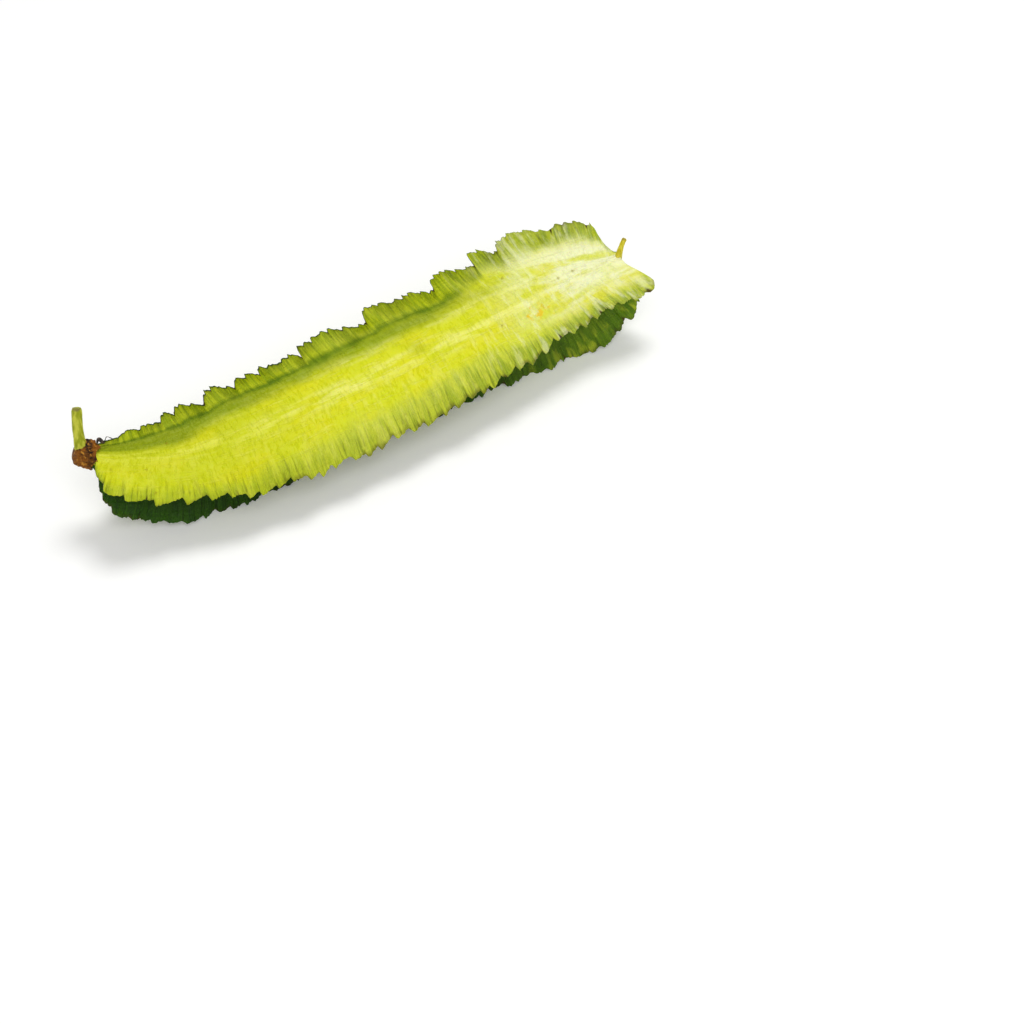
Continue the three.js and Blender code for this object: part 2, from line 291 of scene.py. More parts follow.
# %% [markdown]
# ## The whole skin
# The body's faces lie between the wings. The broad top and bottom faces are valves, smooth and swollen a
# little over each seed. The two narrow side faces are the seams along which the pod would split, and each
# carries a thin raised ridge with a groove in it. Body and wings grow as one piece, so they are one
# closed mesh: rings of points, all with the same number of points, joined from the stalk to the beak.

# %% Rings of the pod
RINGS = 430
FACE_STEPS = 15
FACE_BULGE = 0.5
SEED_PITCH = 9.6
PANELS = ["top", "near", "bottom", "far"]  # the face that follows each wing, in the wings' order
SEAM = {"near": 0.34, "far": 0.34, "top": 0.0, "bottom": 0.0}  # height of the ridge on a side face


def carried(line, p, q, shift):
    """Flat ring coordinates p and q, turned by the roll and carried to the centre line."""
    origin, forward, sideways, upward = (part[:, None, :] for part in line)
    y = (p * np.cos(ROLL) - q * np.sin(ROLL))[..., None]
    z = (p * np.sin(ROLL) + q * np.cos(ROLL))[..., None]
    return origin + shift[..., None] * forward + y * sideways + z * upward


def face_between(panel, along, start, end):
    """Points of one body face, from the root of a wing to the root of the next."""
    k = PANELS.index(panel)
    t = (np.arange(1, FACE_STEPS) / FACE_STEPS)[None, :]
    share = body_share(along)[:, 0][:, None]
    seed = 0.5 + 0.5 * np.cos(2 * np.pi * along / SEED_PITCH + 0.6 * np.sin(along / 7.0))[:, None]
    along_fade = (smooth(14, 30, along) * (1 - smooth(122, 140, along)))[:, None]
    bulge = FACE_BULGE * share * 4 * t * (1 - t) * (1 + 0.7 * (seed - 0.5) * along_fade)
    middle = (t - 0.5) * FACE_STEPS
    ridge = np.exp(-(middle / 0.75) ** 2) - 0.7 * np.exp(-(middle / 0.28) ** 2)
    bulge = bulge + SEAM[panel] * share * ridge
    out = (k + 1) * np.pi / 2
    p = start[0][:, None] * (1 - t) + end[0][:, None] * t + bulge * np.cos(out)
    q = start[1][:, None] * (1 - t) + end[1][:, None] * t + bulge * np.sin(out)
    return p, q, t


def pod_rings(count):
    """All ring points, with the paint data that the skin's material reads."""
    u = np.linspace(0, 1, count)
    along = POD_LENGTH * (u - np.sin(2 * np.pi * u) / (5 * np.pi))
    line = line_frame(along)
    names = list(WINGS)
    blades = {name: blade(name, along) for name in names}
    roots = {}
    for name, (p, q, angle, half, *_rest) in blades.items():
        for side in (1, -1):
            offset = side * half[:, 0]
            roots[name, side] = (
                p[:, 0] + offset * np.sin(angle[:, 0]),
                q[:, 0] - offset * np.cos(angle[:, 0]),
            )
    points, paint = [], {key: [] for key in ("along", "across", "out", "panel", "tone", "notch")}

    def note(places, across, out, panel, tone, notch):
        shape = places.shape[:2]
        points.append(places)
        for key, value in zip(paint, (along[:, None], across, out, panel, tone, notch)):
            paint[key].append(np.broadcast_to(value, shape))

    for k, name in enumerate(names):
        p, q, angle, half, ruffle, shift, data = blades[name]
        tone, notch = data["tone"][:, None], data["notch"][:, None]
        v = outward_share[None, :]
        distance = data["reach"][:, None] * v
        half_face = 5.0
        for side, panel, order in ((1, (k - 1) % 4, 1), (-1, k, -1)):
            offset = side * half + ruffle
            places = carried(line, p + offset * np.sin(angle), q - offset * np.cos(angle), shift)
            across = side * (half_face + distance)
            outward = v[:, ::order]
            note(places[:, ::order], across[:, ::order], outward, panel, tone, notch * outward**6)
            if side == 1:
                past, aside = 0.6 * half[:, -1:], ruffle[:, -1:]
                tip_p = p[:, -1:] + past * np.cos(angle[:, -1:]) + aside * np.sin(angle[:, -1:])
                tip_q = q[:, -1:] + past * np.sin(angle[:, -1:]) - aside * np.cos(angle[:, -1:])
                note(carried(line, tip_p, tip_q, shift[:, -1:]), across[:, -1:], 1.0, panel, tone, notch)
        p, q, t = face_between(PANELS[k], along, roots[name, -1], roots[names[(k + 1) % 4], 1])
        note(carried(line, p, q, np.zeros_like(p)), (2 * t - 1) * half_face, 0.0, k, 0.5, 0.0)
    paint = {key: np.concatenate(value, axis=1) for key, value in paint.items()}
    return np.concatenate(points, axis=1), paint


rings, paint = pod_rings(RINGS)
print("rings and points in each:", rings.shape[:2])

# %% [markdown]
# ## From rings to a mesh
# Quads join each ring to the next, and a fan closes each end. The lower margins carry the pod, so no
# point may sink below the surface: what would go under is pressed flat on it, as the soft margin is.
# The numbers that the paint needs, such as the distance out along a wing, go on the points as attributes.

# %% Pod mesh
def grid_mesh(name, rings, attributes=None):
    """A closed mesh from rings (ring, point, xyz in mm), with a fan over each end."""
    count, around = rings.shape[:2]
    here = np.arange(count * around).reshape(count, around)
    after = np.roll(here, -1, axis=1)
    quads = np.stack([here[:-1], after[:-1], after[1:], here[1:]], axis=-1).reshape(-1, 4).tolist()
    first, last = count * around, count * around + 1
    fans = [(int(b), int(a), first) for a, b in zip(here[0], after[0])]
    fans += [(int(a), int(b), last) for a, b in zip(here[-1], after[-1])]
    points = np.concatenate([rings.reshape(-1, 3), rings[0].mean(0)[None], rings[-1].mean(0)[None]])
    mesh = bpy.data.meshes.new(name)
    mesh.from_pydata((points * MM).tolist(), [], quads + fans)
    for key, value in (attributes or {}).items():
        ends = [value[0].mean(keepdims=True), value[-1].mean(keepdims=True)]
        flat = np.concatenate([value.reshape(-1), *ends])
        layer = mesh.attributes.new(key, "FLOAT", "POINT")
        layer.data.foreach_set("value", flat.astype(np.float32))
    mesh.shade_smooth()
    mesh.update()
    piece = bpy.data.objects.new(name, mesh)
    bpy.context.scene.collection.objects.link(piece)
    return piece


rings[..., 2] = np.maximum(rings[..., 2], 0.02)
pod = grid_mesh("pod_skin", rings, paint)
print("pod triangles:", sum(len(face.vertices) - 2 for face in pod.data.polygons))

# %% [markdown]
# ## Shared paint effects
# Two effects appear on several pieces, so each is a node group with named inputs: streaks that follow
# the growth of a piece, and the scattered brown specks that every fresh vegetable has. A group gives out
# only a mask, and each material decides what to do with it.

# %% Node helpers
def socket(group, name, kind, value=None, output=False):
    made = group.interface.new_socket(
        name=name, in_out="OUTPUT" if output else "INPUT", socket_type="NodeSocket" + kind
    )
    if value is not None:
        made.default_value = value
    return made


class Wiring:
    """Adds nodes to one tree and joins them, so that a material reads as a list of steps."""

    def __init__(self, tree):
        self.tree = tree

    def node(self, kind, **settings):
        made = self.tree.nodes.new(kind)
        for key, value in settings.items():
            setattr(made, key, value)
        return made

    def feed(self, target, value):
        if isinstance(value, bpy.types.NodeSocket):
            self.tree.links.new(value, target)
        else:
            target.default_value = value

    def attribute(self, name):
        return self.node("ShaderNodeAttribute", attribute_name=name).outputs["Fac"]

    def math(self, operation, a, b=0.0, c=0.0, clamp=False):
        made = self.node("ShaderNodeMath", operation=operation, use_clamp=clamp)
        for target, value in zip(made.inputs, (a, b, c)):
            self.feed(target, value)
        return made.outputs[0]

    def remap(self, value, low, high, to_low=0.0, to_high=1.0):
        made = self.node("ShaderNodeMapRange", interpolation_type="SMOOTHSTEP")
        for target, number in zip(made.inputs, (value, low, high, to_low, to_high)):
            self.feed(target, number)
        return made.outputs[0]

    def vector(self, x, y, z):
        made = self.node("ShaderNodeCombineXYZ")
        for target, value in zip(made.inputs, (x, y, z)):
            self.feed(target, value)
        return made.outputs[0]

    def noise(self, vector, scale, detail=3.0, roughness=0.5):
        made = self.node("ShaderNodeTexNoise")
        self.feed(made.inputs["Vector"], vector)
        self.feed(made.inputs["Scale"], scale)
        made.inputs["Detail"].default_value = detail
        made.inputs["Roughness"].default_value = roughness
        return made.outputs["Fac"]

    def mix(self, share, a, b, blend="MIX"):
        made = self.node("ShaderNodeMix", data_type="RGBA", blend_type=blend)
        self.feed(made.inputs["Factor"], share)
        self.feed(made.inputs["A"], a if isinstance(a, bpy.types.NodeSocket) else (*a, 1.0))
        self.feed(made.inputs["B"], b if isinstance(b, bpy.types.NodeSocket) else (*b, 1.0))
        return made.outputs["Result"]

    def group(self, tree, **values):
        made = self.node("ShaderNodeGroup", node_tree=tree)
        for key, value in values.items():
            self.feed(made.inputs[key.replace("_", " ")], value)
        return made


print("node helpers ready")

# %% Streaks and specks as node groups
def build_streaks():
    group = bpy.data.node_groups.new("Growth streaks", "ShaderNodeTree")
    socket(group, "Along", "Float", 0.0)
    socket(group, "Across", "Float", 0.0)
    socket(group, "Seed", "Float", 0.0)
    socket(group, "Along scale", "Float", 0.1)
    socket(group, "Across scale", "Float", 1.0)
    socket(group, "Low", "Float", 0.4)
    socket(group, "High", "Float", 0.6)
    socket(group, "Mask", "Float", output=True)
    wires = Wiring(group)
    given = wires.node("NodeGroupInput").outputs
    along = wires.math("MULTIPLY", given["Along"], given["Along scale"])
    across = wires.math("MULTIPLY", given["Across"], given["Across scale"])
    pattern = wires.noise(wires.vector(along, across, given["Seed"]), 1.0, detail=4.0, roughness=0.55)
    mask = wires.remap(pattern, given["Low"], given["High"])
    wires.tree.links.new(mask, wires.node("NodeGroupOutput").inputs["Mask"])
    return group


def build_specks():
    group = bpy.data.node_groups.new("Brown specks", "ShaderNodeTree")
    socket(group, "Position", "Vector")
    socket(group, "Scale", "Float", 300.0)
    socket(group, "Size", "Float", 0.1)
    socket(group, "Patchiness", "Float", 0.6)
    socket(group, "Mask", "Float", output=True)
    wires = Wiring(group)
    given = wires.node("NodeGroupInput").outputs
    bent = wires.node("ShaderNodeVectorMath", operation="MULTIPLY_ADD")
    wobble = wires.node("ShaderNodeTexNoise")
    wires.feed(wobble.inputs["Vector"], given["Position"])
    wobble.inputs["Scale"].default_value = 900.0
    wires.feed(bent.inputs[0], wobble.outputs["Color"])
    bent.inputs[1].default_value = (0.0012, 0.0012, 0.0012)
    wires.feed(bent.inputs[2], given["Position"])
    cells = wires.node("ShaderNodeTexVoronoi")
    wires.feed(cells.inputs["Vector"], bent.outputs[0])
    wires.feed(cells.inputs["Scale"], given["Scale"])
    dots = wires.remap(cells.outputs["Distance"], given["Size"], 0.0)
    patches = wires.noise(given["Position"], 90.0, detail=2.0)
    patch_mask = wires.remap(patches, given["Patchiness"], wires.math("ADD", given["Patchiness"], 0.08))
    wires.tree.links.new(
        wires.math("MULTIPLY", dots, patch_mask), wires.node("NodeGroupOutput").inputs["Mask"]
    )
    return group


STREAKS, SPECKS = build_streaks(), build_specks()
print("groups:", STREAKS.name, "and", SPECKS.name)

# %% [markdown]
# ## The pod's skin
# Fresh pods are lime-yellow on the body, with pale streaks, and turn green towards the wing margins. Fine
# veins run out along each wing. The wings let light through a little, so the skin has some subsurface
# scattering. Some of the colour is painted light: shade along the wings' creases, on the wings' lower
# faces and in the folds of the finest pleats, and a whitish sheen towards the beak. Every mask below
# comes from where a point lies on the pod: along it, across a face, and out along a wing.

# %% Pod skin material
LIME = (0.66, 0.70, 0.002)
YELLOW = (0.72, 0.71, 0.002)
PALE = (0.84, 0.84, 0.17)
# painted shade for the wings' creases
CREASE_SHADE = (0.10, 0.20, 0.001)
STRIP = (0.47, 0.55, 0.005)
MARGIN = (0.52, 0.59, 0.03)
VEIN_LIGHT = (0.62, 0.68, 0.05)
# pale wax, pushed towards white as a painted sheen
WAX_AND_SHEEN = (0.89, 0.91, 0.54)
# deep greens for the wings' lower faces, mostly painted shade
UNDER_SHADE_GREEN = (0.014, 0.075, 0.001)
UNDER_SHADE_BEAK = (0.13, 0.24, 0.006)
SCORCH = (0.055, 0.030, 0.006)
AMBER = (0.80, 0.56, 0.004)


def shader(name):
    material = bpy.data.materials.new(name)
    material.use_nodes = True
    tree = material.node_tree
    return material, Wiring(tree), tree.nodes["Principled BSDF"].inputs


def pod_skin_material():
    material, wires, skin = shader("pod_skin")
    along, across = wires.attribute("along"), wires.attribute("across")
    out, panel = wires.attribute("out"), wires.attribute("panel")
    tone, notch = wires.attribute("tone"), wires.attribute("notch")
    position = wires.node("ShaderNodeTexCoord").outputs["Object"]
    on_top = wires.remap(panel, 0.5, 0.1)
    toward_near = wires.remap(across, 3.5, 6.5)  # the top face's near wing
    near_wing = wires.math("MULTIPLY", on_top, toward_near)

    # body: two pale bands beside the lime middle, mottled, with short fibres across them
    slow_along, slow_across = wires.math("MULTIPLY", along, 0.06), wires.math("MULTIPLY", across, 0.12)
    ragged = wires.noise(wires.vector(slow_along, slow_across, panel), 1.0)
    wander = wires.math("MULTIPLY_ADD", ragged, 7.0, -3.5)
    off_middle = wires.math("ABSOLUTE", wires.math("ADD", wires.math("ADD", across, 0.5), wander))
    bands = wires.math("MULTIPLY", wires.remap(off_middle, 0.6, 3.2), wires.remap(off_middle, 9.0, 3.6))
    mottle = wires.group(
        STREAKS, Along=along, Across=across, Seed=panel, Along_scale=0.08, Across_scale=0.5,
        Low=0.42, High=0.6
    ).outputs["Mask"]
    fibres = wires.group(
        STREAKS, Along=along, Across=across, Seed=4.2, Along_scale=0.9, Across_scale=0.3, Low=0.3, High=0.7
    ).outputs["Mask"]
    streaks = wires.group(
        STREAKS, Along=along, Across=across, Seed=7.9, Along_scale=0.13, Across_scale=1.1, Low=0.5, High=0.68
    ).outputs["Mask"]
    paleness = wires.math("MULTIPLY", bands, wires.math("MULTIPLY_ADD", mottle, 0.95, 0.05))
    paleness = wires.math("MULTIPLY", paleness, wires.math("MULTIPLY_ADD", fibres, 0.3, 0.7))
    paleness = wires.math("ADD", paleness, wires.math("MULTIPLY", streaks, 0.3), clamp=True)
    paleness = wires.math("MULTIPLY", paleness, wires.remap(across, -5.0, -2.5, 0.3, 1.0))
    lime = wires.mix(wires.remap(ragged, 0.4, 0.65), LIME, YELLOW)
    body = wires.mix(paleness, lime, PALE)

    # wings: the far one on top is green from its crease outwards, the near one only towards its margin
    patchy = wires.noise(
        wires.vector(wires.math("MULTIPLY", along, 0.07), wires.math("MULTIPLY", across, 0.12), panel), 1.0
    )
    beak_end = wires.math("MULTIPLY", wires.remap(along, 100.0, 135.0), on_top)
    stalk_end = wires.remap(along, 70.0, 20.0)
    start = wires.math("MULTIPLY", beak_end, 0.34)
    near_start = wires.math("MULTIPLY_ADD", stalk_end, 0.3, wires.remap(along, 95.0, 130.0, 0.34, 0.12))
    start = wires.math("ADD", start, wires.math("MULTIPLY", near_wing, near_start))
    start = wires.math("ADD", start, wires.math("MULTIPLY", wires.math("SUBTRACT", patchy, 0.5), 0.5))
    to_wing = wires.remap(out, start, wires.math("ADD", start, 0.3))
    # painted shade: a dark green band at the wings' roots, along their creases, weaker towards the beak
    crease_shade_band = wires.math("MULTIPLY", wires.remap(out, 0.5, 0.15), wires.math("SUBTRACT", 1.0, near_wing))
    crease_shade_band = wires.math("MULTIPLY", crease_shade_band, wires.math("MULTIPLY_ADD", beak_end, -0.75, 1.0))
    strip = wires.mix(wires.remap(patchy, 0.35, 0.65), STRIP, MARGIN)
    green_wing = wires.mix(crease_shade_band, strip, CREASE_SHADE)
    light_wing = wires.mix(wires.remap(out, 0.55, 1.0), VEIN_LIGHT, MARGIN)
    wing = wires.mix(near_wing, green_wing, light_wing)
    colour = wires.mix(to_wing, body, wing)
    # the crease's painted shade runs a little way in over the body
    spread = wires.math("SUBTRACT", across, wires.math("MULTIPLY", wires.remap(along, 42.0, 12.0), 3.4))
    spread = wires.math("SUBTRACT", spread, wires.math("MULTIPLY", wires.math("SUBTRACT", patchy, 0.5), 5.0))
    inward_shade = wires.math("MULTIPLY", wires.remap(spread, -0.8, -5.6), wires.math("SUBTRACT", 1.0, beak_end))
    inward_shade = wires.math("MULTIPLY", wires.math("MULTIPLY", inward_shade, on_top), wires.remap(out, 0.5, 0.05))
    colour = wires.mix(wires.math("MULTIPLY", inward_shade, 0.72), colour, wires.mix(0.15, CREASE_SHADE, STRIP))
    # the lower wings and the sides between them are deeper green, partly their own green and mostly painted
    # shade, lighter towards the beak
    under = wires.math("MULTIPLY", wires.remap(out, 0.0, 0.4), wires.math("SUBTRACT", 1.0, on_top))
    deep = wires.mix(wires.remap(along, 95.0, 150.0), UNDER_SHADE_GREEN, UNDER_SHADE_BEAK)
    colour = wires.mix(wires.math("MULTIPLY", under, 0.97), colour, deep)

    # veins along each wing, fine and finer
    veins = wires.group(
        STREAKS, Along=along, Across=across, Seed=panel, Along_scale=1.0, Across_scale=0.09,
        Low=0.42, High=0.6
    ).outputs["Mask"]
    hairs = wires.group(
        STREAKS, Along=along, Across=across, Seed=panel, Along_scale=2.6, Across_scale=0.16,
        Low=0.44, High=0.62
    ).outputs["Mask"]
    on_wing = wires.remap(out, wires.math("ADD", start, 0.0), wires.math("ADD", start, 0.4))
    vein_depth = wires.math("MULTIPLY_ADD", near_wing, wires.remap(along, 60.0, 130.0, -0.3, 0.1), 0.62)
    dark_veins = wires.math("MULTIPLY", wires.math("MULTIPLY", veins, on_wing), vein_depth)
    colour = wires.mix(dark_veins, colour, wires.mix(1.0, colour, (0.45, 0.58, 0.35), "MULTIPLY"))
    fine_veins = wires.math("MULTIPLY", wires.math("MULTIPLY", hairs, on_wing), 0.35)
    colour = wires.mix(fine_veins, colour, wires.mix(1.0, colour, (1.25, 1.18, 2.0), "MULTIPLY"))
    threads = wires.group(
        STREAKS, Along=along, Across=across, Seed=6.6, Along_scale=1.7, Across_scale=0.5, Low=0.5, High=0.72
    ).outputs["Mask"]
    on_face = wires.math("MULTIPLY", threads, wires.math("SUBTRACT", 1.0, to_wing))
    deepened = wires.mix(1.0, colour, (0.72, 0.8, 0.3), "MULTIPLY")
    colour = wires.mix(wires.math("MULTIPLY", on_face, 0.2), colour, deepened)
    lobes = wires.math("MULTIPLY", wires.remap(out, 0.5, 0.9), wires.math("SUBTRACT", tone, 0.5))
    shaded = wires.math("MULTIPLY", lobes, 0.55)
    colour = wires.mix(
        wires.math("MAXIMUM", shaded, 0.0), colour, wires.mix(1.0, colour, (0.5, 0.66, 0.4), "MULTIPLY")
    )

    # towards the margin the finest pleats are darkened: painted shade in their folds
    pleat_shade = wires.group(
        STREAKS, Along=along, Across=across, Seed=5.1, Along_scale=1.5, Across_scale=0.12, Low=0.52, High=0.64
    ).outputs["Mask"]
    pleat_shade = wires.math("MULTIPLY", wires.math("MULTIPLY", pleat_shade, wires.remap(out, 0.4, 0.95)), 0.75)
    colour = wires.mix(pleat_shade, colour, wires.mix(1.0, colour, (0.48, 0.48, 0.5), "MULTIPLY"))

    # pale feathers that follow the veins, over the near wing and round the beak, where they take the wax
    # colour that carries a painted sheen
    feathers = wires.group(
        STREAKS, Along=along, Across=across, Seed=9.3, Along_scale=0.5, Across_scale=0.13, Low=0.5, High=0.66
    ).outputs["Mask"]
    feathered = wires.math("MAXIMUM", wires.math("MULTIPLY", toward_near, on_top), beak_end)
    feather_depth = wires.remap(along, 90.0, 125.0, 0.25, 0.5)
    feathered = wires.math("MULTIPLY", wires.math("MULTIPLY", feathers, feathered), feather_depth)
    colour = wires.mix(feathered, colour, wires.mix(beak_end, PALE, WAX_AND_SHEEN))

    frill = wires.math("MULTIPLY", wires.math("SUBTRACT", 1.0, on_top), wires.remap(along, 115.0, 145.0))
    frill = wires.math("MULTIPLY", wires.math("MULTIPLY", frill, wires.remap(out, 0.4, 1.0)), feathers)
    colour = wires.mix(wires.math("MULTIPLY", frill, 0.7), colour, MARGIN)

    # wax bloom towards the beak, whitened by a painted sheen where the light glares off the skin
    bloom_sheen_pattern = wires.group(
        STREAKS, Along=along, Across=across, Seed=2.7, Along_scale=0.09, Across_scale=0.22,
        Low=0.36, High=0.56
    ).outputs["Mask"]
    bloom_sheen_place = wires.math("MULTIPLY", wires.remap(along, 112.0, 150.0), on_top)
    bloom_and_sheen = wires.math("MULTIPLY", bloom_sheen_place, wires.math("MULTIPLY_ADD", bloom_sheen_pattern, 0.8, 0.14))
    bloom_and_sheen = wires.math("MULTIPLY", bloom_and_sheen, wires.remap(out, 0.8, 0.3, 0.08, 1.0))
    # the brightest patch, just short of the beak, is a painted sheen
    sheen_heart = wires.math("MULTIPLY", wires.remap(along, 134.0, 152.0), wires.remap(across, 13.0, 5.0))
    sheen_heart = wires.math("MULTIPLY", wires.math("MULTIPLY", sheen_heart, on_top), wires.remap(across, -7.0, -2.0))
    heart_sheen = wires.math("MULTIPLY", sheen_heart, wires.remap(patchy, 0.35, 0.6, 0.45, 0.95))
    bloom_and_sheen = wires.math("MAXIMUM", bloom_and_sheen, heart_sheen)
    colour = wires.mix(bloom_and_sheen, colour, WAX_AND_SHEEN)

    # the stalk half is riper and deeper
    deeper = wires.mix(1.0, colour, (0.88, 0.90, 0.4), "MULTIPLY")
    colour = wires.mix(wires.remap(along, 75.0, 30.0), colour, deeper)

    # blemishes
    specks = wires.group(SPECKS, Position=position, Scale=230.0, Size=0.17, Patchiness=0.5).outputs["Mask"]
    colour = wires.mix(wires.math("MULTIPLY", specks, 0.75), colour, (0.34, 0.27, 0.010))
    bruise_along = wires.math("POWER", wires.math("DIVIDE", wires.math("SUBTRACT", along, 130.0), 4.5), 2.0)
    bruise_across = wires.math("POWER", wires.math("DIVIDE", wires.math("SUBTRACT", across, 7.2), 2.6), 2.0)
    blots = wires.noise(position, 420.0, detail=4.0, roughness=0.6)
    bruise_off = wires.math("ADD", bruise_along, bruise_across)
    bruise = wires.math("SUBTRACT", blots, wires.math("MULTIPLY", bruise_off, 0.12))
    bruise = wires.math("MULTIPLY", wires.remap(bruise, 0.44, 0.58), on_top)
    colour = wires.mix(wires.math("MULTIPLY", bruise, 0.9), colour, AMBER)
    scorch = wires.math("MULTIPLY", wires.remap(notch, 0.25, 0.65), wires.remap(tone, 0.25, 0.5))
    rim = wires.math("MULTIPLY", wires.remap(out, 0.9, 1.0), wires.remap(patchy, 0.46, 0.6))
    colour = wires.mix(wires.math("MAXIMUM", scorch, wires.math("MULTIPLY", rim, 0.55)), colour, SCORCH)
    wires.feed(skin["Base Color"], colour)

    # surface
    height = wires.math("MULTIPLY", on_wing, wires.math("ADD", veins, wires.math("MULTIPLY", hairs, 0.5)))
    pores = wires.noise(position, 1500.0, detail=2.0)
    height = wires.math("ADD", height, wires.math("MULTIPLY", pores, 0.25))
    height = wires.math("ADD", height, wires.math("MULTIPLY", streaks, 0.5))
    height = wires.math("ADD", height, wires.math("MULTIPLY", threads, 0.6))
    height = wires.math("ADD", height, wires.math("MULTIPLY", wires.noise(position, 330.0, detail=3.0), 2.2))
    bump = wires.node("ShaderNodeBump")
    bump.inputs["Strength"].default_value = 0.6
    bump.inputs["Distance"].default_value = 0.0004
    wires.feed(bump.inputs["Height"], height)
    wires.feed(skin["Normal"], bump.outputs["Normal"])
    wires.feed(skin["Roughness"], wires.math("MULTIPLY_ADD", pores, 0.2, 0.36))
    skin["Specular IOR Level"].default_value = 0.16
    skin["Subsurface Weight"].default_value = 0.18
    skin["Subsurface Radius"].default_value = (0.8, 1.0, 0.12)
    skin["Subsurface Scale"].default_value = 0.0014
    return material


pod.data.materials.append(pod_skin_material())
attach(pod, "root")
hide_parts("pod")
print("pod skin nodes:", len(pod.data.materials[0].node_tree.nodes))

# %% [markdown]
# ## The dry calyx
# The calyx is the cup that held the flower. On a picked pod it has dried to a brown, knobbly knot with a
# few curled lobes, and it grips the pod's neck. A cup turned on a lathe would look machined, so its rings
# are pushed about by a smooth noise, with folds that run along it and lobes of different lengths.

# %% Calyx
CALYX_RADIUS = 3.5
CALYX_LENGTH = 4.2
CALYX_RINGS, CALYX_SIDES = 46, 120


def wrinkle(place, size, octaves=3):
    return noise.fractal(Vector(place) / size, 1.0, 2.0, octaves)


def cup_rings():
    """Rings from the back of the cup, over its rim and down inside it."""
    profile = [  # behind or ahead of the seat, radius as a share
        (-1.00, 0.10), (-0.98, 0.42), (-0.84, 0.74), (-0.55, 0.97), (-0.2, 1.0), (0.1, 0.93),
        (0.24, 0.86), (0.22, 0.76), (0.05, 0.74), (-0.1, 0.60), (-0.12, 0.10),
    ]
    steps = np.linspace(0, len(profile) - 1, CALYX_RINGS)
    place = np.interp(steps, range(len(profile)), [row[0] for row in profile])
    share = np.interp(steps, range(len(profile)), [row[1] for row in profile])
    angles = np.linspace(0, 2 * np.pi, CALYX_SIDES, endpoint=False)
    rings = np.zeros((CALYX_RINGS, CALYX_SIDES, 3))
    for i in range(CALYX_RINGS):
        at_rim = math.exp(-(((place[i] - 0.24) / 0.3) ** 2))
        for j, angle in enumerate(angles):
            fold = 0.05 * math.sin(5 * angle + 0.8) + 0.035 * math.sin(11 * angle + 3 * place[i])
            spot = (3.2 * math.cos(angle), 3.2 * math.sin(angle), CALYX_LENGTH * place[i])
            lump = 0.22 * wrinkle(spot, 2.2) + 0.1 * wrinkle((spot[2], spot[0], spot[1]), 0.8)
            radius = CALYX_RADIUS * share[i] * (1 + fold + lump)
            lobe = 0.5 + 0.5 * math.cos(5 * (angle - 0.5))
            reach = at_rim * (0.9 * lobe**2 - 0.25) * (1 + 0.8 * wrinkle(spot, 3.0))
            forward = CALYX_LENGTH * place[i] + reach
            point = (
                seat
                + seat_forward * forward
                + seat_sideways * radius * math.cos(angle)
                + seat_upward * radius * math.sin(angle)
            )
            rings[i, j] = point
    return rings


calyx = grid_mesh("calyx_knot", cup_rings())
print("calyx size, mm:", [round(side / MM, 1) for side in calyx.dimensions])

# %% Tubes that follow a bent line
def bent_line(points, count):
    """Evenly spread places on a smooth curve through a few points."""
    points = np.array(points, float)
    knots = np.linspace(0, 1, len(points))
    curve = track(np.column_stack([knots, points]))
    fine = curve(np.linspace(0, 1, 400))
    run = np.concatenate([[0], np.cumsum(np.linalg.norm(np.diff(fine, axis=0), axis=1))])
    wanted = np.linspace(0, run[-1], count)
    return np.column_stack([np.interp(wanted, run, fine[:, k]) for k in range(3)])


def tube_rings(centres, radius_at, sides, flatten=1.0, twist=0.0):
    """Rings round a line. radius_at(t, angle) gives each point's distance from it."""
    ahead = np.gradient(centres, axis=0)
    ahead /= np.linalg.norm(ahead, axis=1, keepdims=True)
    side = np.cross(ahead[0], (0.0, 1.0, 0.0))
    rings = []
    for i, (centre, direction) in enumerate(zip(centres, ahead)):
        side = side - direction * np.dot(side, direction)
        side /= np.linalg.norm(side)
        other = np.cross(direction, side)
        t = i / (len(centres) - 1)
        ring = []
        for j in range(sides):
            angle = 2 * math.pi * j / sides
            radius = radius_at(t, angle)
            turned = angle + twist * t
            flat = (math.cos(angle), flatten * math.sin(angle))
            x = flat[0] * math.cos(twist * t) - flat[1] * math.sin(twist * t)
            y = flat[0] * math.sin(twist * t) + flat[1] * math.cos(twist * t)
            ring.append(centre + radius * (x * side + y * other))
        rings.append(ring)
    return np.array(rings)


print("a straight test line:", len(bent_line([(0, 0, 0), (0, 0, 1)], 5)), "places")

# %% [markdown]
# ## The stalk
# The stalk is a short green stem, cut when the pod was picked. It is a little swollen where it meets
# the calyx, has faint lengthwise ridges, and its cut end has dried to a greyish tip.

# %% Stalk
STALK_RADIUS = 1.4
calyx_middle = seat - seat_forward * 2.1
STALK_RISE = np.array([1.7, 2.9, 9.8])


def stalk_radius(t, angle):
    swell = 1 + 0.22 * math.exp(-((t / 0.2) ** 2)) - 0.05 * t
    ridges = 0.035 * math.sin(5 * angle + 0.6) + 0.02 * math.sin(9 * angle + 4 * t)
    rough = 0.03 * wrinkle((math.cos(angle) * 1.4, math.sin(angle) * 1.4, 11 * t), 1.3)
    end = 1 - 0.16 * smooth(0.93, 1.0, t)
    return STALK_RADIUS * float(swell + ridges + rough) * float(end)


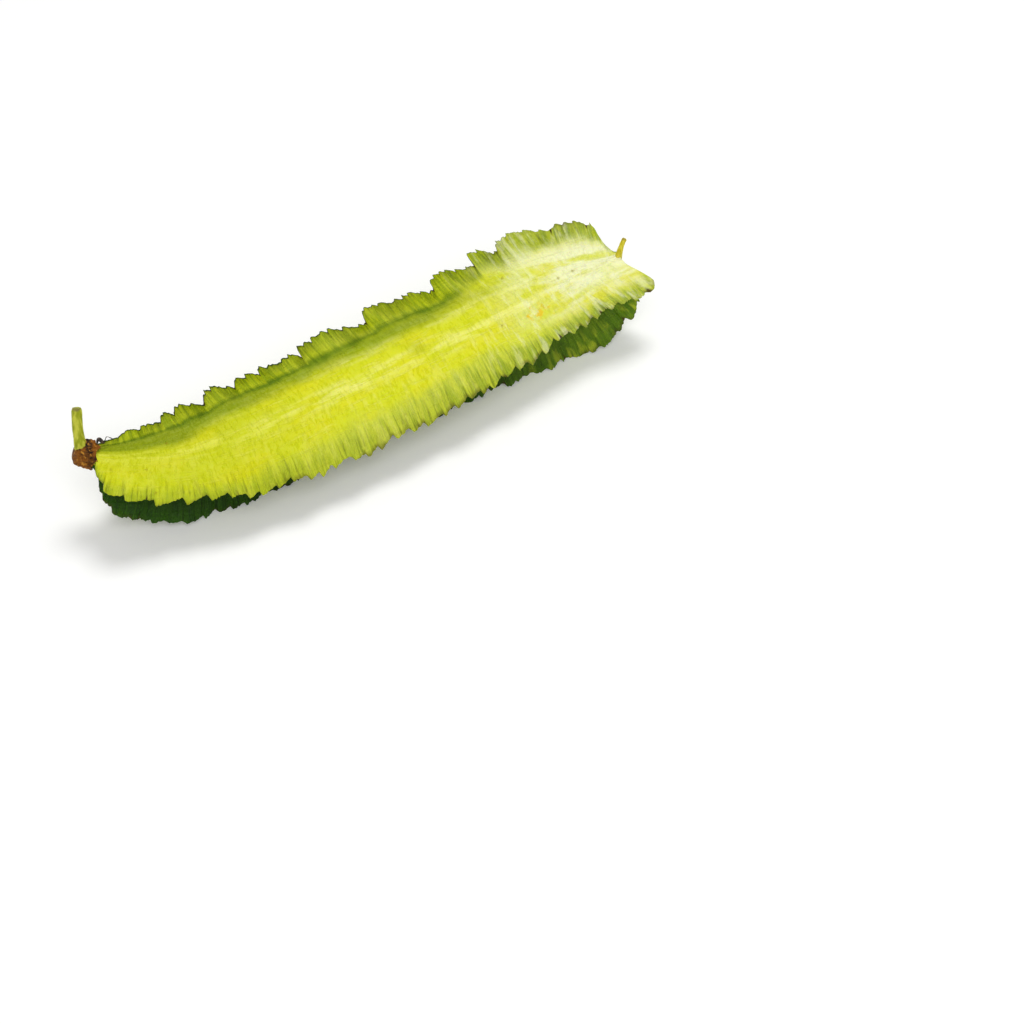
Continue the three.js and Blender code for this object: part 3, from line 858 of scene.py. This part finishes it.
rise = STALK_RISE / np.linalg.norm(STALK_RISE)
stalk_foot = calyx_middle + rise * 1.6
stalk_top = calyx_middle + rise * 2.4 + STALK_RISE * 0.985
stalk_bow = (stalk_foot + stalk_top) / 2 + np.array([-0.35, 0.0, 0.0])
stalk_line = bent_line([stalk_foot, stalk_bow, stalk_top], 60)
stalk_rings = tube_rings(stalk_line, stalk_radius, 40)
stalk_rings[-1] += rise * 0.12 * np.sin(np.linspace(0, 2 * np.pi, 40))[:, None]
stalk = grid_mesh("stalk_stem", stalk_rings)
print("stalk size, mm:", [round(side / MM, 1) for side in stalk.dimensions])

# %% [markdown]
# ## The withered style
# At the beak end the flower's style has dried to a bent yellow thread. It is thickest at its foot.

# %% Style
beak, beak_forward, _, beak_upward = (part[0] for part in line_frame(POD_LENGTH))
style_foot = beak - beak_forward * 0.5 + beak_upward * 0.1
style_points = [
    style_foot,
    style_foot + np.array([0.5, 0.1, 1.9]),
    style_foot + np.array([1.5, 0.4, 4.2]),
    style_foot + np.array([2.75, 0.7, 5.9]),
]


def style_radius(t, angle):
    knots = 0.1 * wrinkle((5 * t, math.cos(angle), math.sin(angle)), 0.9)
    swell = 0.15 * float(smooth(0.8, 1.0, t))
    closing = 1 - 0.45 * float(smooth(0.95, 1, t))
    return (1.3 - 0.6 * t + swell) * (1 + knots) * closing


style_line = bent_line(style_points, 60)
style = grid_mesh("style_thread", tube_rings(style_line, style_radius, 24, flatten=0.8, twist=1.2))
print("style size, mm:", [round(side / MM, 1) for side in style.dimensions])

# %% [markdown]
# ## The petal shred
# A last shred of the flower has dried black between the calyx and the upper wing. It is a thin ribbon,
# twisted and curled, so it is a flattened tube that turns as it goes.

# %% Petal shred
shred_points = [seat + np.array(step) for step in (
    (1.2, 0.4, 3.3), (2.2, -0.2, 2.6), (3.4, 0.5, 3.5), (4.3, -0.3, 2.4), (5.6, 0.4, 3.2), (7.0, -0.2, 2.0),
)]


def shred_radius(t, angle):
    belly = 0.35 + 0.65 * math.sin(math.pi * min(1, t + 0.15))
    return 0.5 * belly * (1 + 0.5 * wrinkle((8 * t, angle, 0), 1.0))


shred = grid_mesh(
    "petal_shred", tube_rings(bent_line(shred_points, 60), shred_radius, 20, flatten=0.28, twist=5.0)
)
print("shred size, mm:", [round(side / MM, 1) for side in shred.dimensions])

# %% Materials of the small pieces
def calyx_material():
    material, wires, skin = shader("withered_calyx")
    position = wires.node("ShaderNodeTexCoord").outputs["Object"]
    broad = wires.noise(position, 260.0, detail=4.0, roughness=0.6)
    fine = wires.noise(position, 1100.0, detail=4.0, roughness=0.65)
    # near-black in the low places is painted shade, and the orange on the raised knobs, which the bump lifts,
    # is a painted highlight over the dry browns
    colour = wires.mix(wires.remap(broad, 0.4, 0.58), (0.010, 0.004, 0.002), (0.23, 0.075, 0.005))
    colour = wires.mix(wires.remap(fine, 0.52, 0.68), colour, (0.56, 0.25, 0.03))
    specks = wires.group(SPECKS, Position=position, Scale=700.0, Size=0.25, Patchiness=0.5).outputs["Mask"]
    colour = wires.mix(specks, colour, (0.012, 0.007, 0.004))
    wires.feed(skin["Base Color"], colour)
    bump = wires.node("ShaderNodeBump")
    bump.inputs["Strength"].default_value = 0.9
    bump.inputs["Distance"].default_value = 0.0004
    wires.feed(bump.inputs["Height"], wires.math("ADD", fine, wires.math("MULTIPLY", broad, 0.6)))
    wires.feed(skin["Normal"], bump.outputs["Normal"])
    wires.feed(skin["Roughness"], wires.math("MULTIPLY_ADD", fine, 0.3, 0.45))
    skin["Specular IOR Level"].default_value = 0.15
    return material


def stem_material(name, low, high, tip, scale, foot_dark):
    """Stem and style: pale streaks on green or straw, darker where they dried."""
    material, wires, skin = shader(name)
    place = wires.node("ShaderNodeTexCoord")
    position, box = place.outputs["Object"], place.outputs["Generated"]
    stretched = wires.node("ShaderNodeMapping")
    wires.feed(stretched.inputs["Vector"], position)
    stretched.inputs["Scale"].default_value = (1.0, 1.0, 0.16)
    fibres = wires.noise(stretched.outputs["Vector"], scale, detail=4.0)
    colour = wires.mix(wires.remap(fibres, 0.36, 0.64), low, high)
    height = wires.node("ShaderNodeSeparateXYZ")
    wires.feed(height.inputs[0], box)
    cut = wires.remap(height.outputs["Z"], 0.93, 0.985)
    colour = wires.mix(wires.math("MULTIPLY", cut, 0.85), colour, tip)
    foot = wires.math("MULTIPLY", wires.remap(height.outputs["Z"], 0.22, 0.02), foot_dark)
    colour = wires.mix(foot, colour, (0.16, 0.09, 0.012))
    specks = wires.group(SPECKS, Position=position, Scale=900.0, Size=0.2, Patchiness=0.58).outputs["Mask"]
    colour = wires.mix(specks, colour, (0.10, 0.07, 0.01))
    wires.feed(skin["Base Color"], colour)
    bump = wires.node("ShaderNodeBump")
    bump.inputs["Strength"].default_value = 0.6
    bump.inputs["Distance"].default_value = 0.00025
    wires.feed(bump.inputs["Height"], fibres)
    wires.feed(skin["Normal"], bump.outputs["Normal"])
    wires.feed(skin["Roughness"], wires.math("MULTIPLY_ADD", fibres, 0.3, 0.4))
    skin["Specular IOR Level"].default_value = 0.15
    skin["Subsurface Weight"].default_value = 0.1
    skin["Subsurface Radius"].default_value = (0.8, 0.9, 0.2)
    skin["Subsurface Scale"].default_value = 0.001
    return material


def shred_material():
    material, wires, skin = shader("dry_petal")
    position = wires.node("ShaderNodeTexCoord").outputs["Object"]
    crackle = wires.noise(position, 1300.0, detail=3.0)
    charred = wires.mix(wires.remap(crackle, 0.45, 0.7), (0.010, 0.007, 0.006), (0.09, 0.05, 0.025))
    wires.feed(skin["Base Color"], charred)
    wires.feed(skin["Roughness"], wires.math("MULTIPLY_ADD", crackle, 0.4, 0.4))
    return material


calyx.data.materials.append(calyx_material())
stalk.data.materials.append(
    stem_material("green_stalk", (0.30, 0.34, 0.01), (0.58, 0.59, 0.06), (0.20, 0.17, 0.05), 900.0, 0.0)
)
style.data.materials.append(
    stem_material("withered_style", (0.52, 0.44, 0.012), (0.78, 0.68, 0.06), (0.36, 0.27, 0.04), 1300.0, 0.6)
)
shred.data.materials.append(shred_material())
for piece, node, slot in (
    (calyx, "calyx", "withered_calyx"),
    (stalk, "stalk", "green_stalk"),
    (style, "style", "withered_style"),
    (shred, "flower_shred", "dry_petal"),
):
    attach(piece, "root")
    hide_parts(node)
    print(piece.name, "stands for", node)

# %% [markdown]
# ## Floor, light and camera
# The pod lies on a plain white surface. One soft light hangs above it, a little behind it on the right, and a
# wider and slightly weaker one stands in front of it on the left. A long lens looks down at it from the front.

# %% Floor and soft light
def white_floor():
    mesh = bpy.data.meshes.new("floor")
    reach = 3.0
    corners = [(-reach, -reach, 0), (reach, -reach, 0), (reach, reach, 0), (-reach, reach, 0)]
    mesh.from_pydata(corners, [], [(0, 1, 2, 3)])
    floor = bpy.data.objects.new("floor", mesh)
    bpy.context.scene.collection.objects.link(floor)
    material, wires, paper = shader("white_paper")
    paper["Base Color"].default_value = (0.93, 0.93, 0.92, 1.0)
    paper["Roughness"].default_value = 0.9
    paper["Specular IOR Level"].default_value = 0.1
    paper["Emission Color"].default_value = (1.0, 1.0, 0.99, 1.0)
    paper["Emission Strength"].default_value = 0.11
    mesh.materials.append(material)
    floor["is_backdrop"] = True
    return floor


def soft_light(name, place, size, power, aim=(0.0, 0.0, 0.01)):
    data = bpy.data.lights.new(name, "AREA")
    data.shape = "DISK"
    data.size = size
    data.energy = power
    lamp = bpy.data.objects.new(name, data)
    lamp.location = place
    lamp.rotation_euler = (Vector(aim) - Vector(place)).to_track_quat("-Z", "Y").to_euler()
    bpy.context.scene.collection.objects.link(lamp)
    return lamp


floor = white_floor()
world = bpy.data.worlds.new("white_room")
world.use_nodes = True
world.node_tree.nodes["Background"].inputs["Color"].default_value = (1.0, 1.0, 1.0, 1.0)
world.node_tree.nodes["Background"].inputs["Strength"].default_value = 0.4
bpy.context.scene.world = world
soft_light("window", (0.28, 0.2, 1.0), 0.45, 4.8)
soft_light("front_panel", (-0.3, -0.65, 0.8), 0.7, 4.1)
bpy.context.scene.view_settings.view_transform = "Standard"

# %% Camera
AZIMUTH, ELEVATION = math.radians(-34), math.radians(45)
DISTANCE = 0.65
AIM = Vector((0.01693, -0.03831, -0.01192))
back = Vector((
    math.sin(AZIMUTH) * math.cos(ELEVATION),
    -math.cos(AZIMUTH) * math.cos(ELEVATION),
    math.sin(ELEVATION),
))
lens = bpy.data.cameras.new("camera")
lens.lens = 85
lens.clip_start = 0.01
camera = bpy.data.objects.new("camera", lens)
camera.location = AIM + back * DISTANCE
camera.rotation_euler = back.to_track_quat("Z", "Y").to_euler()
bpy.context.scene.collection.objects.link(camera)
bpy.context.scene.camera = camera
print("camera at", [round(value, 3) for value in camera.location])

# %% [markdown]
# ## Sizes, and the end
# The finished pieces must fill the same space as the frame. Both boxes are written down for comparison.

# %% Write the sizes and finish
visual_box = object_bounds()
for label, box in (("frame", frame_box), ("visual", visual_box)):
    print(label, [[round(value / MM, 2) for value in corner] for corner in box])
